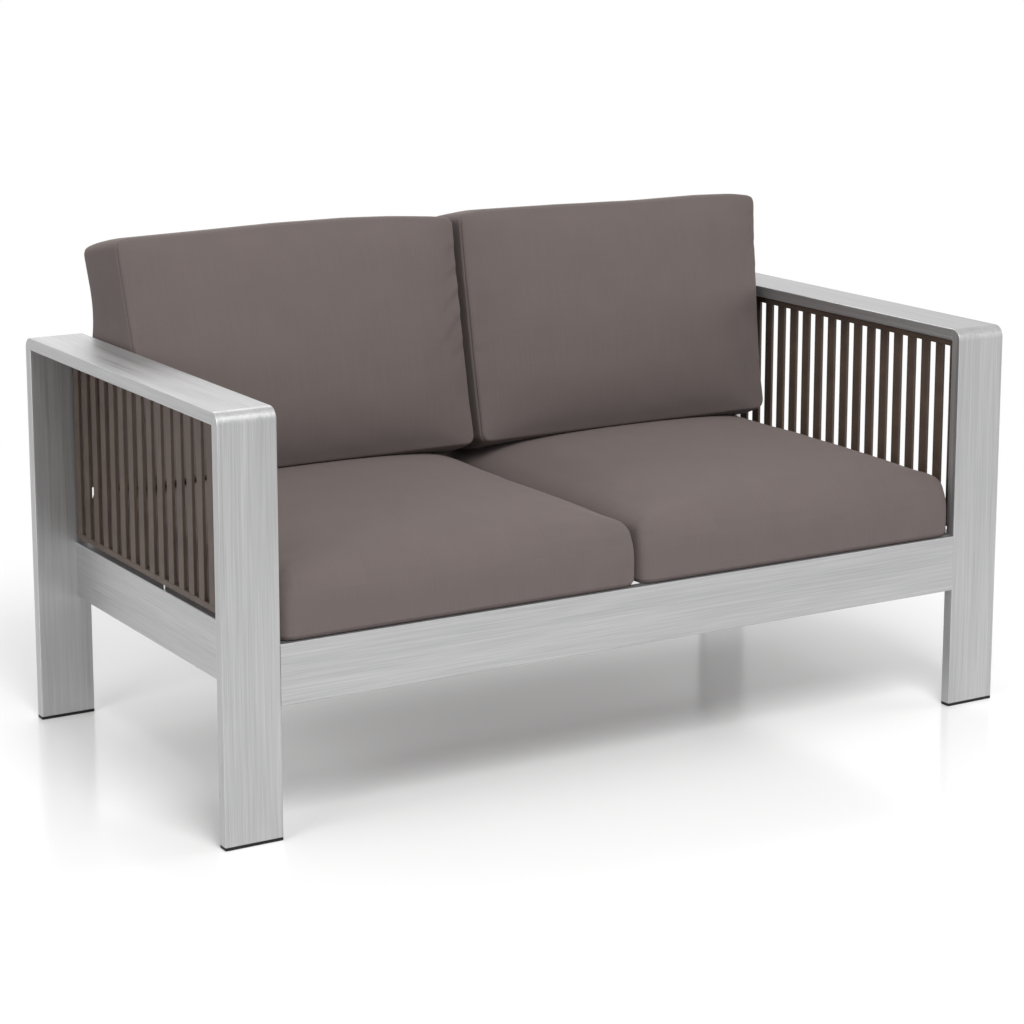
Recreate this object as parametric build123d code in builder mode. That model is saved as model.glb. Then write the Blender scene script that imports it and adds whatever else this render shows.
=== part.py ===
"""Patio loveseat: a frame of flat aluminium tube with slatted infill panels, a slatted seat deck and
four loose cushions.

Millimetres. The origin is on the ground under the middle of the footprint, +Z is up, the sitter faces
-Y and +X runs along the seat.
"""

from build123d import *

import os
from math import cos, radians, sin

os.makedirs("parts", exist_ok=True)

# Overall frame
overall_width = 1390.0
overall_depth = 714.0
arm_height = 625.0

# The flat tube that the legs, arms and rails are cut from
tube_width = 90.0
tube_depth = 19.0
tube_wall = 1.5
tube_edge_bevel = 1.0
leg_top_radius = 17.5

# Rails
rail_top = 287.0
side_rail_set_in = 66.5
back_rail_drop = 25.0

# Foot caps
foot_plate = 5.0
foot_plug_height = 24.0
foot_plug_wall = 2.0
foot_plug_pockets = 3
foot_plug_clearance = 0.2
foot_chamfer = 0.8

# Infill panels: square bars with flat slats between them
bar_size = 9.5
bar_edge_bevel = 0.7
slat_width = 19.0
slat_thickness = 5.0
slat_edge_bevel = 0.6
slat_pitch = 35.85
slat_end_gap = 5.0
panel_gap = 8.3
panel_head_gap = 3.0
panel_set_in = 1.5
pin_diameter = 4.0
pin_depth_in_bar = 5.0
pin_clearance = 0.1

# Seat deck: angle ledges with hollow slats lying on them
deck_slat_width = 30.0
deck_slat_height = 15.0
deck_slat_wall = 1.2
deck_slat_bevel = 2.0
deck_slat_count = 12
deck_slat_margin = 27.5
deck_slat_end_gap = 1.0
ledge_leg = 25.0
ledge_thickness = 2.5
ledge_end_gap = 4.0

# Corner brackets and their bolts
bracket_leg = 60.0
bracket_thickness = 3.0
bracket_height = 38.0
bracket_bottom_gap = 4.0
bracket_hole_distance = 34.0
bolt_diameter = 8.0
bolt_length = 16.0
bolt_across_flats = 13.0
bolt_head_height = 5.3
bolt_hole_clearance = 0.4
nut_thickness = 6.5
nut_thread_clearance = 0.1

# Cushions: a straight wall all round between two crowned faces
soft_clearance = 0.3
seat_cushion_gap = 1.0
seat_cushion_side_gap = 2.5
seat_cushion_front_gap = 3.0
seat_cushion_rear_gap = 3.0
seat_cushion_wall = 50.0
seat_cushion_bottom_rise = 14.0
seat_cushion_bottom_inset = 14.0
seat_cushion_top_rise = 78.0
seat_crown_flat = 102.0
seat_pressed_start = 265.0
seat_pressed_angle = 5.0
back_cushion_side_gap = 2.0
back_cushion_height = 394.0
back_cushion_wall = 134.0
back_cushion_lean = 11.0
back_cushion_sink = 24.0
back_cushion_front_rise = 28.0
back_cushion_rear_rise = 30.0
back_crown_flat = 86.0
cushion_corner_radius = 40.0
crown_exponent = 2.5
crown_steps = 5
corner_steps = 3

# Planes and lines that several pieces share
front_outer = -overall_depth / 2
front_inner = front_outer + tube_depth
rear_outer = overall_depth / 2
rear_inner = rear_outer - tube_depth
leg_outer = overall_width / 2
leg_inner = leg_outer - tube_width
side_rail_outer = leg_outer - side_rail_set_in
side_rail_inner = side_rail_outer - tube_depth
arm_underside = arm_height - tube_depth
rail_bottom = rail_top - tube_width
back_rail_top = arm_height - back_rail_drop
back_rail_bottom = back_rail_top - tube_width
deck_underside = rail_top - deck_slat_height
deck_slat_pitch = 2 * (leg_inner - deck_slat_margin) / (deck_slat_count - 1)
seat_cushion_width = leg_inner - seat_cushion_gap / 2 - seat_cushion_side_gap
seat_cushion_front = front_outer + seat_cushion_front_gap
seat_cushion_depth = rear_inner - seat_cushion_rear_gap - seat_cushion_front
seat_cushion_middle = (seat_cushion_gap + seat_cushion_width) / 2
seat_crown_top = (rail_top + soft_clearance + seat_cushion_bottom_rise + seat_cushion_wall
                  + seat_cushion_top_rise)
back_cushion_width = seat_cushion_width - 2 * back_cushion_side_gap
leg_middle_x = (leg_inner + leg_outer) / 2
leg_middle_y = (rear_inner + rear_outer) / 2


def save(part, name):
    """Label a finished piece and write it under its name."""
    part.label = name
    export_step(part, f"parts/{name}.step")


def hollow_tube(plane, length, width, depth, wall, bevel, bolt_planes=()):
    """A straight rectangular tube, centred on the plane's origin and running along its normal.

    Each bolt plane lies on the inner face of a bracket and drills one wall of the tube behind it.
    """
    with BuildPart() as tube:
        with BuildSketch(plane):
            Rectangle(width, depth)
            chamfer(vertices(), bevel)
            Rectangle(width - 2 * wall, depth - 2 * wall, mode=Mode.SUBTRACT)
        extrude(amount=length)
        for bolt_plane in bolt_planes:
            with BuildSketch(bolt_plane):
                Circle((bolt_diameter + bolt_hole_clearance) / 2)
            extrude(amount=-(bracket_thickness + 1.5 * wall), mode=Mode.SUBTRACT)
    return tube.part


# Bolted corners. Each bolt is laid out on a plane on the inner face of its bracket's leaf, facing
# into the seat frame.
def side_rail_bolt(side, end):
    """The plane of the bolt through the side rail's leaf of one corner."""
    height = rail_bottom + bracket_bottom_gap + bracket_height / 2
    return Plane((side * (side_rail_inner - bracket_thickness),
                  end * (rear_inner - bracket_hole_distance), height),
                 x_dir=(0, 0, 1), z_dir=(-side, 0, 0))


def cross_rail_bolt(side, end):
    """The plane of the bolt through the front or rear rail's leaf of one corner."""
    height = rail_bottom + bracket_bottom_gap + bracket_height / 2
    return Plane((side * (side_rail_inner - bracket_hole_distance),
                  end * (rear_inner - bracket_thickness), height),
                 x_dir=(0, 0, 1), z_dir=(0, -end, 0))


# Legs: the tube stands on end, its outer top corner rolled over, open at the bottom for the foot plug
def make_leg(side, end):
    """The leg at side (-1 left, 1 right) and end (-1 front, 1 rear)."""
    x_low = leg_inner if side > 0 else -leg_outer
    y_middle = end * leg_middle_y
    with BuildPart() as leg:
        with BuildSketch(Plane.YZ.offset(x_low)):
            with Locations((y_middle, (arm_height + foot_plate) / 2)):
                Rectangle(tube_depth, arm_height - foot_plate)
            outer_top = vertices().group_by(Axis.Y)[-1].sort_by(Axis.X)[0 if end < 0 else -1]
            fillet(outer_top, leg_top_radius)
        extrude(amount=tube_width)
        rims = leg.faces().filter_by(Axis.X).edges()
        chamfer(rims.filter_by(lambda rim: rim.center().Z > foot_plate + 1), tube_edge_bevel)
        with BuildSketch(Plane.YZ.offset(x_low + tube_wall)):
            with Locations((y_middle, (arm_height - tube_wall + foot_plate) / 2)):
                Rectangle(tube_depth - 2 * tube_wall, arm_height - tube_wall - foot_plate)
            outer_top = vertices().group_by(Axis.Y)[-1].sort_by(Axis.X)[0 if end < 0 else -1]
            fillet(outer_top, leg_top_radius - tube_wall)
        extrude(amount=tube_width - 2 * tube_wall, mode=Mode.SUBTRACT)
    return leg.part


# Foot caps: a plate under the tube and a pocketed plug pushed up into it
def make_foot_cap(side, end):
    """The cap of the leg at side and end."""
    x_middle = side * leg_middle_x
    y_middle = end * leg_middle_y
    plug_length = tube_width - 2 * (tube_wall + foot_plug_clearance)
    plug_depth = tube_depth - 2 * (tube_wall + foot_plug_clearance)
    pocket_pitch = (plug_length - foot_plug_wall) / foot_plug_pockets
    with BuildPart() as cap:
        with BuildSketch(Plane.XY):
            with Locations((x_middle, y_middle)):
                Rectangle(tube_width, tube_depth)
            chamfer(vertices(), tube_edge_bevel)
        extrude(amount=foot_plate)
        chamfer(cap.faces().sort_by(Axis.Z)[0].edges(), foot_chamfer)
        with BuildSketch(Plane.XY.offset(foot_plate)):
            with Locations((x_middle, y_middle)):
                Rectangle(plug_length, plug_depth)
                with GridLocations(pocket_pitch, 1, foot_plug_pockets, 1):
                    Rectangle(pocket_pitch - foot_plug_wall, plug_depth - 2 * foot_plug_wall,
                              mode=Mode.SUBTRACT)
        extrude(amount=foot_plug_height)
    return cap.part


for side, side_name in ((-1, "left"), (1, "right")):
    for end, end_name in ((-1, "front"), (1, "rear")):
        save(make_leg(side, end), f"{side_name}_{end_name}_leg")
        save(make_foot_cap(side, end), f"{side_name}_{end_name}_foot_cap")


# Armrests lie flat between the legs' tops; side rails stand on edge below them
for side, side_name in ((-1, "left"), (1, "right")):
    arm_plane = Plane((side * leg_middle_x, front_inner, arm_height - tube_depth / 2),
                      x_dir=(1, 0, 0), z_dir=(0, 1, 0))
    save(hollow_tube(arm_plane, rear_inner - front_inner, tube_width, tube_depth, tube_wall,
                     tube_edge_bevel), f"{side_name}_armrest")
    rail_plane = Plane((side * (side_rail_outer + side_rail_inner) / 2, front_inner,
                        rail_top - tube_width / 2), x_dir=(0, 0, 1), z_dir=(0, 1, 0))
    save(hollow_tube(rail_plane, rear_inner - front_inner, tube_width, tube_depth, tube_wall,
                     tube_edge_bevel, [side_rail_bolt(side, -1), side_rail_bolt(side, 1)]),
         f"{side_name}_side_rail")

# Front, rear and top back rails run from leg to leg, flush with the legs' outer faces
for name, end, top, bolted in (
    ("front_rail", -1, rail_top, True),
    ("rear_rail", 1, rail_top, True),
    ("back_top_rail", 1, back_rail_top, False),
):
    cross_plane = Plane((-leg_inner, end * leg_middle_y, top - tube_width / 2), x_dir=(0, 0, 1),
                        z_dir=(1, 0, 0))
    bolts = [cross_rail_bolt(-1, end), cross_rail_bolt(1, end)] if bolted else []
    save(hollow_tube(cross_plane, 2 * leg_inner, tube_width, tube_depth, tube_wall,
                     tube_edge_bevel, bolts), name)


# Infill panels. Each is laid out on a plane whose x runs along the panel, y is up and z points out
# of the seat, with the plane's origin on the ground in the middle of the panel's outer face.
def panel_plane(side_name):
    """The layout plane of the left, right or back panel."""
    face = side_rail_outer - panel_set_in
    planes = {
        "left": Plane((-face, 0, 0), x_dir=(0, -1, 0), z_dir=(-1, 0, 0)),
        "right": Plane((face, 0, 0), x_dir=(0, 1, 0), z_dir=(1, 0, 0)),
        "back": Plane((0, rear_outer - panel_set_in, 0), x_dir=(-1, 0, 0), z_dir=(0, 1, 0)),
    }
    return planes[side_name]


def make_panel_bar(plane, length, low, pin_below):
    """A square bar from leg to leg with a blind pin hole in its middle, underneath or on top."""
    with BuildPart() as bar:
        with BuildSketch(plane):
            with Locations((0, low + bar_size / 2)):
                Rectangle(length, bar_size)
        extrude(amount=-bar_size)
        chamfer(bar.edges().filter_by(lambda edge: edge.length > length - 1), bar_edge_bevel)
        mouth = low if pin_below else low + bar_size
        inward = 1 if pin_below else -1
        hole_plane = Plane(plane.from_local_coords((0, mouth, -bar_size / 2)), x_dir=plane.x_dir,
                           z_dir=(0, 0, inward))
        with BuildSketch(hole_plane):
            Circle((pin_diameter + pin_clearance) / 2)
        extrude(amount=pin_depth_in_bar, mode=Mode.SUBTRACT)
    return bar.part


def make_panel_slats(plane, length, low, high):
    """Upright slats between the two bars, their outer faces flush with the bars'."""
    count = int((length - slat_width - 2 * slat_end_gap) // slat_pitch) + 1
    with BuildPart() as slats:
        with BuildSketch(plane):
            with Locations((0, (low + high) / 2)):
                with GridLocations(slat_pitch, 1, count, 1):
                    Rectangle(slat_width, high - low)
        extrude(amount=-slat_thickness)
        chamfer(slats.edges().filter_by(Axis.Z), slat_edge_bevel)
    return slats.part


def make_panel_pin(plane, foot, toward, gap):
    """A pin that stands on a rail at height foot and reaches across the gap into a bar."""
    with BuildPart() as pin:
        with BuildSketch(Plane(plane.from_local_coords((0, foot, -bar_size / 2)),
                               x_dir=plane.x_dir, z_dir=(0, 0, toward))):
            Circle(pin_diameter / 2)
        extrude(amount=gap + pin_depth_in_bar)
    return pin.part


support_pins = []
for side_name, length, ceiling in (
    ("left", rear_inner - front_inner, arm_underside),
    ("right", rear_inner - front_inner, arm_underside),
    ("back", 2 * leg_inner, back_rail_bottom),
):
    plane = panel_plane(side_name)
    sill_low = rail_top + panel_gap
    header_low = ceiling - panel_head_gap - bar_size
    save(make_panel_bar(plane, length, header_low, False), f"{side_name}_panel_header")
    save(make_panel_bar(plane, length, sill_low, True), f"{side_name}_panel_sill")
    save(make_panel_slats(plane, length, sill_low + bar_size, header_low),
         f"{side_name}_panel_slats")
    support_pins.append(make_panel_pin(plane, rail_top, 1, panel_gap))
    support_pins.append(make_panel_pin(plane, ceiling, -1, panel_head_gap))
save(Compound(children=support_pins), "panel_support_pins")


# Seat deck: an angle ledge along the front and rear rails, and hollow slats lying across them
def make_ledge(end):
    """The ledge on the front (-1) or rear (1) rail, its flat leg on top and reaching inward."""
    wall_y = end * rear_inner
    with BuildPart() as ledge:
        with BuildSketch(Plane.YZ.offset(-leg_inner + ledge_end_gap)):
            with BuildLine():
                Polyline(
                    (wall_y, deck_underside),
                    (wall_y - end * ledge_leg, deck_underside),
                    (wall_y - end * ledge_leg, deck_underside - ledge_thickness),
                    (wall_y - end * ledge_thickness, deck_underside - ledge_thickness),
                    (wall_y - end * ledge_thickness, deck_underside - ledge_leg),
                    (wall_y, deck_underside - ledge_leg),
                    close=True,
                )
            make_face()
        extrude(amount=2 * (leg_inner - ledge_end_gap))
        inner_corner = ledge.edges().filter_by(Axis.X).filter_by(
            lambda edge: abs(abs(edge.center().Y) - (rear_inner - ledge_thickness)) < 0.01
            and abs(edge.center().Z - (deck_underside - ledge_thickness)) < 0.01
        )
        fillet(inner_corner, ledge_thickness)
    return ledge.part


save(make_ledge(-1), "front_deck_ledge")
save(make_ledge(1), "rear_deck_ledge")

for index in range(deck_slat_count):
    slat_x = (index - (deck_slat_count - 1) / 2) * deck_slat_pitch
    slat_plane = Plane((slat_x, front_inner + deck_slat_end_gap, rail_top - deck_slat_height / 2),
                       x_dir=(1, 0, 0), z_dir=(0, 1, 0))
    slat_length = rear_inner - front_inner - 2 * deck_slat_end_gap
    save(hollow_tube(slat_plane, slat_length, deck_slat_width, deck_slat_height, deck_slat_wall,
                     deck_slat_bevel), f"deck_slat_{index + 1:02d}")


# Corner brackets: angle plates inside the seat frame's corners, a bolt through each leaf into a
# captive nut behind the drilled wall of the rail
def make_bracket(side, end):
    """The bracket of the corner at side and end."""
    wall_x = side * side_rail_inner
    wall_y = end * rear_inner
    with BuildPart() as bracket:
        with BuildSketch(Plane.XY.offset(rail_bottom + bracket_bottom_gap)):
            with BuildLine():
                Polyline(
                    (wall_x, wall_y),
                    (wall_x - side * bracket_leg, wall_y),
                    (wall_x - side * bracket_leg, wall_y - end * bracket_thickness),
                    (wall_x - side * bracket_thickness, wall_y - end * bracket_thickness),
                    (wall_x - side * bracket_thickness, wall_y - end * bracket_leg),
                    (wall_x, wall_y - end * bracket_leg),
                    close=True,
                )
            make_face()
        extrude(amount=bracket_height)
        for bolt_plane in (side_rail_bolt(side, end), cross_rail_bolt(side, end)):
            with BuildSketch(bolt_plane):
                Circle((bolt_diameter + bolt_hole_clearance) / 2)
            extrude(amount=-bracket_thickness, mode=Mode.SUBTRACT)
    return bracket.part


def make_bolt(plane):
    """A hexagon head bolt whose head bears on the bracket at the plane."""
    with BuildPart() as bolt:
        with BuildSketch(plane):
            RegularPolygon(bolt_across_flats / 2, 6, major_radius=False)
        extrude(amount=bolt_head_height)
        with BuildSketch(plane):
            Circle(bolt_diameter / 2)
        extrude(amount=-bolt_length)
    return bolt.part


def make_nut(plane):
    """A captive hexagon nut against the back of the drilled wall."""
    with BuildPart() as nut:
        with BuildSketch(plane.offset(-bracket_thickness - tube_wall)):
            RegularPolygon(bolt_across_flats / 2, 6, major_radius=False)
            Circle((bolt_diameter + nut_thread_clearance) / 2, mode=Mode.SUBTRACT)
        extrude(amount=-nut_thickness)
    return nut.part


corner_bolts = []
corner_nuts = []
for side, side_name in ((-1, "left"), (1, "right")):
    for end, end_name in ((-1, "front"), (1, "rear")):
        save(make_bracket(side, end), f"{side_name}_{end_name}_corner_bracket")
        for bolt_plane in (side_rail_bolt(side, end), cross_rail_bolt(side, end)):
            corner_bolts.append(make_bolt(bolt_plane))
            corner_nuts.append(make_nut(bolt_plane))
save(Compound(children=corner_bolts), "bracket_bolts")
save(Compound(children=corner_nuts), "bracket_nuts")


# Cushions: flat facets between rings of points that follow a rounded rectangle. From the wall
# outwards each crown follows a quarter of a superellipse, so that the face is tight at its edge and
# nearly flat in the middle.
def crown_levels(rise, inset, exponent):
    """Pairs of height above the wall and inset from the outline, from the edge to the middle."""
    angles = [radians(90 * step / crown_steps) for step in range(crown_steps + 1)]
    return [(rise * sin(angle) ** (2 / exponent), inset * (1 - abs(cos(angle)) ** (2 / exponent)))
            for angle in angles]


def cushion_ring(plane, width, height, radius):
    """Points on the plane round a rectangle whose corners turn through a few equal chords."""
    ring = []
    for corner, (across, along) in enumerate(((1, 1), (-1, 1), (-1, -1), (1, -1))):
        for step in range(corner_steps + 1):
            angle = radians(90 * (corner + step / corner_steps))
            ring.append(plane.from_local_coords((across * (width / 2 - radius) + radius * cos(angle),
                                                 along * (height / 2 - radius) + radius * sin(angle))))
    return ring


def crowned_solid(plane, width, height, wall, near_crown, far_crown):
    """A solid whose wall starts at the plane and runs along its normal, near_crown on this side."""
    levels = [(-level, inset) for level, inset in reversed(near_crown)]
    levels += [(wall + level, inset) for level, inset in far_crown]
    rings = [cushion_ring(plane.offset(level), width - 2 * inset, height - 2 * inset,
                          cushion_corner_radius)
             for level, inset in levels]
    facets = [Face(Wire.make_polygon(ring)) for ring in (rings[0], rings[-1])]
    for lower, upper in zip(rings, rings[1:]):
        for index in range(len(lower)):
            corners = [lower[index - 1], lower[index], upper[index], upper[index - 1]]
            facets.append(Face(Wire.make_polygon(corners)))
    return Solid(Shell(facets))


# The back cushion presses the rear of the seat cushion down to a plane that starts behind the seat's
# front edge at the height of its crown and falls to the rear.
pressed_plane = Plane((0, seat_cushion_front + seat_pressed_start, seat_crown_top), x_dir=(1, 0, 0),
                      z_dir=(0, sin(radians(seat_pressed_angle)), cos(radians(seat_pressed_angle))))


def make_seat_cushion(side):
    """The seat cushion at side, lying on the deck."""
    bottom = crown_levels(seat_cushion_bottom_rise, seat_cushion_bottom_inset, 2)
    crown_inset = (min(seat_cushion_width, seat_cushion_depth) - seat_crown_flat) / 2
    top = crown_levels(seat_cushion_top_rise, crown_inset, crown_exponent)
    wall_start = Plane((side * seat_cushion_middle, seat_cushion_front + seat_cushion_depth / 2,
                        rail_top + soft_clearance + seat_cushion_bottom_rise))
    with BuildPart() as cushion:
        add(crowned_solid(wall_start, seat_cushion_width, seat_cushion_depth, seat_cushion_wall,
                          bottom, top))
        split(bisect_by=pressed_plane, keep=Keep.BOTTOM)
    return cushion.part


def make_back_cushion(side):
    """The back cushion at side, leaning on the top back rail and standing on the pressed seat."""
    lean = radians(back_cushion_lean)
    up = Vector(0, sin(lean), cos(lean))
    rearward = Vector(0, cos(lean), -sin(lean))
    rail_edge = Vector(0, rear_inner, back_rail_top)
    front_seam = (rail_edge.dot(rearward) - soft_clearance - back_cushion_rear_rise
                  - back_cushion_wall)
    foot = (seat_crown_top - back_cushion_sink + front_seam * sin(lean)) / cos(lean)
    middle = rearward * front_seam + up * (foot + back_cushion_height / 2)
    middle.X = side * seat_cushion_middle
    crown_inset = (min(back_cushion_width, back_cushion_height) - back_crown_flat) / 2
    front = crown_levels(back_cushion_front_rise, crown_inset, crown_exponent)
    rear = crown_levels(back_cushion_rear_rise, crown_inset, crown_exponent)
    wall_start = Plane(middle, x_dir=(-1, 0, 0), z_dir=rearward)
    with BuildPart() as cushion:
        add(crowned_solid(wall_start, back_cushion_width, back_cushion_height, back_cushion_wall,
                          front, rear))
        split(bisect_by=pressed_plane.offset(soft_clearance), keep=Keep.TOP)
    return cushion.part


for side, side_name in ((-1, "left"), (1, "right")):
    save(make_seat_cushion(side), f"{side_name}_seat_cushion")
    save(make_back_cushion(side), f"{side_name}_back_cushion")
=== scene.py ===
"""Patio loveseat: finishes for the metal frame, four padded cushions and a plain studio.

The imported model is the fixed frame. Everything here is in metres, +Z up, with the origin on the
ground under the middle of the seat, the sitter facing -Y and +X along the seat.
"""

import logging
import math
from dataclasses import dataclass, field
from enum import Enum
from typing import Any, Optional

import bpy
import numpy as np
from mathutils import Euler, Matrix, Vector

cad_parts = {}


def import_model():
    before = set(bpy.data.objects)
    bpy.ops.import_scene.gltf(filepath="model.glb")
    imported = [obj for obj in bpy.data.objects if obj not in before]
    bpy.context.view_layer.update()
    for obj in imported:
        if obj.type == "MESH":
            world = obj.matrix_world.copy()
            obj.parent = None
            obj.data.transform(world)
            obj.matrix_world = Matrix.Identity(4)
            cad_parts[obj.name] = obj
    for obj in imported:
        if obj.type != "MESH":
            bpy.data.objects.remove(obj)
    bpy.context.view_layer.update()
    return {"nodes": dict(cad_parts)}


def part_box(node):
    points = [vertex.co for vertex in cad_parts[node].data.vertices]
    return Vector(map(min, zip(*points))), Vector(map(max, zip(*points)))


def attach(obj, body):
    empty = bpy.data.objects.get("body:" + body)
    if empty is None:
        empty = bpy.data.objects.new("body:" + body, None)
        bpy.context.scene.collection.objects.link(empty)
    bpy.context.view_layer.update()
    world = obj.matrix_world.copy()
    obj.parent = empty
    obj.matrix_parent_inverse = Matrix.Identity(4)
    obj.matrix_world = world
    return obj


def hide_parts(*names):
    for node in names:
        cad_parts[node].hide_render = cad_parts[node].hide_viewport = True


log = logging.getLogger("loveseat")

MM = 0.001
TINY = 1e-12
SIDES = {"left": -1, "right": 1}
WHITE = (1.0, 1.0, 1.0, 1.0)
BEVEL_SAMPLES = 4
# Where the values of a noise mostly lie
NOISE_SPAN = {"From Min": 0.3, "From Max": 0.7}
# The three pieces of a cover lie this far apart on the cloth map, in metres
CLOTH_MAP_STEP = 3.0
CLOTH_SETTINGS = {
    "quality": 6,
    "mass": 0.2,
    "air_damping": 4.0,
    "tension_stiffness": 80.0,
    "compression_stiffness": 80.0,
    "shear_stiffness": 40.0,
    "bending_stiffness": 2.0,
    "tension_damping": 20.0,
    "compression_damping": 20.0,
    "use_pressure": True,
}
CLOTH_STEPS = 20

# What makes one back cushion differ from its twin. The top profile is how much its top rises above
# a straight line, in mm, by the share of its width from the middle. An ear is a corner, in shares of
# width and length, that is flared sideways by so many mm. A pucker is a side, a share of the length,
# a slant, a length and a depth in mm.
LEFT_BACK = {
    "top_profile": (
        (-0.5, -2.0), (-0.45, 2.0), (-0.28, 4.0), (-0.02, 8.0),
        (0.2, 8.0), (0.33, 5.0), (0.44, 0.0), (0.5, -4.0),
    ),
    "ears": ((0.5, -0.5, 1.0),),
    "puckers": (
        (1, 0.36, -0.4, 22.0, 2.4), (1, 0.27, -0.6, 30.0, 3.6), (1, 0.18, -0.8, 40.0, 4.2),
        (1, 0.08, -0.9, 46.0, 4.0), (1, -0.04, -0.8, 30.0, 2.8),
        (-1, 0.12, -0.6, 24.0, 1.6), (-1, -0.05, 0.4, 30.0, 1.8),
    ),
}
RIGHT_BACK = {
    "top_profile": (
        (-0.5, 0.0), (-0.42, 5.0), (-0.15, 4.0), (0.12, 1.0), (0.33, 2.0), (0.43, 0.0), (0.5, -6.0),
    ),
    "ears": ((0.5, -0.5, 5.0),),
    "puckers": (
        (1, 0.40, -0.4, 20.0, 1.8), (1, 0.28, -0.6, 26.0, 2.4), (1, 0.16, -0.7, 26.0, 2.0),
        (1, -0.3, 0.5, 30.0, 1.8), (-1, 0.05, -0.5, 24.0, 1.8), (-1, -0.1, 0.4, 30.0, 1.8),
    ),
}


# ---------------------------------------------------------------------------------------------
# Colour and node helpers
# ---------------------------------------------------------------------------------------------
def linear(hex_code: str) -> tuple[float, float, float, float]:
    """Turn an sRGB hex colour into linear RGBA.

    Args:
        hex_code: six hex digits after a hash sign.

    Returns:
        Linear red, green, blue and an alpha of 1.
    """
    parts = [int(hex_code[i : i + 2], 16) / 255 for i in (1, 3, 5)]
    curved = [p / 12.92 if p <= 0.04045 else ((p + 0.055) / 1.055) ** 2.4 for p in parts]
    return (*curved, 1.0)


def connect(tree: bpy.types.NodeTree, node: bpy.types.Node, inputs: dict[Any, Any]) -> None:
    """Fill inputs by name or number: a socket as value is linked, any other value is set."""
    for name, value in inputs.items():
        if isinstance(value, bpy.types.NodeSocket):
            tree.links.new(value, node.inputs[name])
        else:
            node.inputs[name].default_value = value


def add_node(
    tree: bpy.types.NodeTree,
    kind: str,
    settings: Optional[dict[str, Any]] = None,
    inputs: Optional[dict[Any, Any]] = None,
) -> bpy.types.Node:
    """Add one node, set its own settings, and set or link its inputs.

    Args:
        tree: the material's or world's node tree.
        kind: the node's type name after ShaderNode.
        settings: attributes of the node by name.
        inputs: sockets by name or number, as connect takes them.

    Returns:
        The new node.
    """
    node = tree.nodes.new(f"ShaderNode{kind}")
    for name, value in (settings or {}).items():
        setattr(node, name, value)
    connect(tree, node, inputs or {})
    return node


def weighted_sum(
    tree: bpy.types.NodeTree, *terms: tuple[bpy.types.NodeSocket, float], start: float = 0.0
) -> bpy.types.NodeSocket:
    """The start plus each term's value times its weight, added in order."""
    total: Any = start
    for value, weight in terms:
        inputs = {0: value, 1: weight, 2: total}
        total = add_node(tree, "Math", {"operation": "MULTIPLY_ADD"}, inputs).outputs[0]
    return total


def stretched_noise(
    tree: bpy.types.NodeTree,
    coordinates: bpy.types.NodeSocket,
    cell: tuple[float, float, float],
    detail: float = 2.0,
    shift: float = 0.0,
) -> bpy.types.NodeSocket:
    """Noise whose grains are as long along each axis as the cell says.

    Args:
        tree: the material's node tree.
        coordinates: Object or UV coordinates, in metres.
        cell: the grain's length along x, y and z, in metres.
        detail: octaves of finer noise.
        shift: moves the pattern, so that two of them differ.

    Returns:
        A value that averages one half.
    """
    scale = tuple(1 / length for length in cell)
    placed = {"Vector": coordinates, "Location": (shift,) * 3, "Scale": scale}
    mapping = add_node(tree, "Mapping", None, placed)
    grains = {"Vector": mapping.outputs[0], "Scale": 1.0, "Detail": detail}
    return add_node(tree, "TexNoise", None, grains).outputs[0]


def varied_colour(
    tree: bpy.types.NodeTree,
    value: bpy.types.NodeSocket,
    span: tuple[float, float],
    hexes: tuple[str, str],
) -> bpy.types.NodeSocket:
    """Blend between two colours as a value runs over a span."""
    ends = {"Value": value, "From Min": span[0], "From Max": span[1]}
    factor = add_node(tree, "MapRange", None, ends).outputs[0]
    colours = {0: factor, 6: linear(hexes[0]), 7: linear(hexes[1])}
    return add_node(tree, "Mix", {"data_type": "RGBA"}, colours).outputs[2]


def relief(
    tree: bpy.types.NodeTree,
    height: bpy.types.NodeSocket,
    strength: float,
    depth: float,
    edge_radius: float = 0.0,
) -> bpy.types.NodeSocket:
    """A normal bumped by a height, over edges that look rounded where they have a radius."""
    inputs = {"Height": height, "Strength": strength, "Distance": depth}
    if edge_radius:
        rounded = add_node(tree, "Bevel", {"samples": BEVEL_SAMPLES}, {"Radius": edge_radius})
        inputs["Normal"] = rounded.outputs[0]
    return add_node(tree, "Bump", None, inputs).outputs[0]


def new_material(name: str) -> tuple[bpy.types.Material, bpy.types.NodeTree, bpy.types.Node]:
    """A material with only its output and a Principled shader linked to it."""
    material = bpy.data.materials.new(name)
    material.use_nodes = True
    tree = material.node_tree
    tree.nodes.clear()
    shader = add_node(tree, "BsdfPrincipled")
    add_node(tree, "OutputMaterial", None, {"Surface": shader.outputs[0]})
    return material, tree, shader


# ---------------------------------------------------------------------------------------------
# Finishes
# ---------------------------------------------------------------------------------------------
class Grain(Enum):
    """The direction in which a tube was brushed: along its own length."""

    ACROSS = 0
    DEEP = 1
    UPRIGHT = 2


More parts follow.
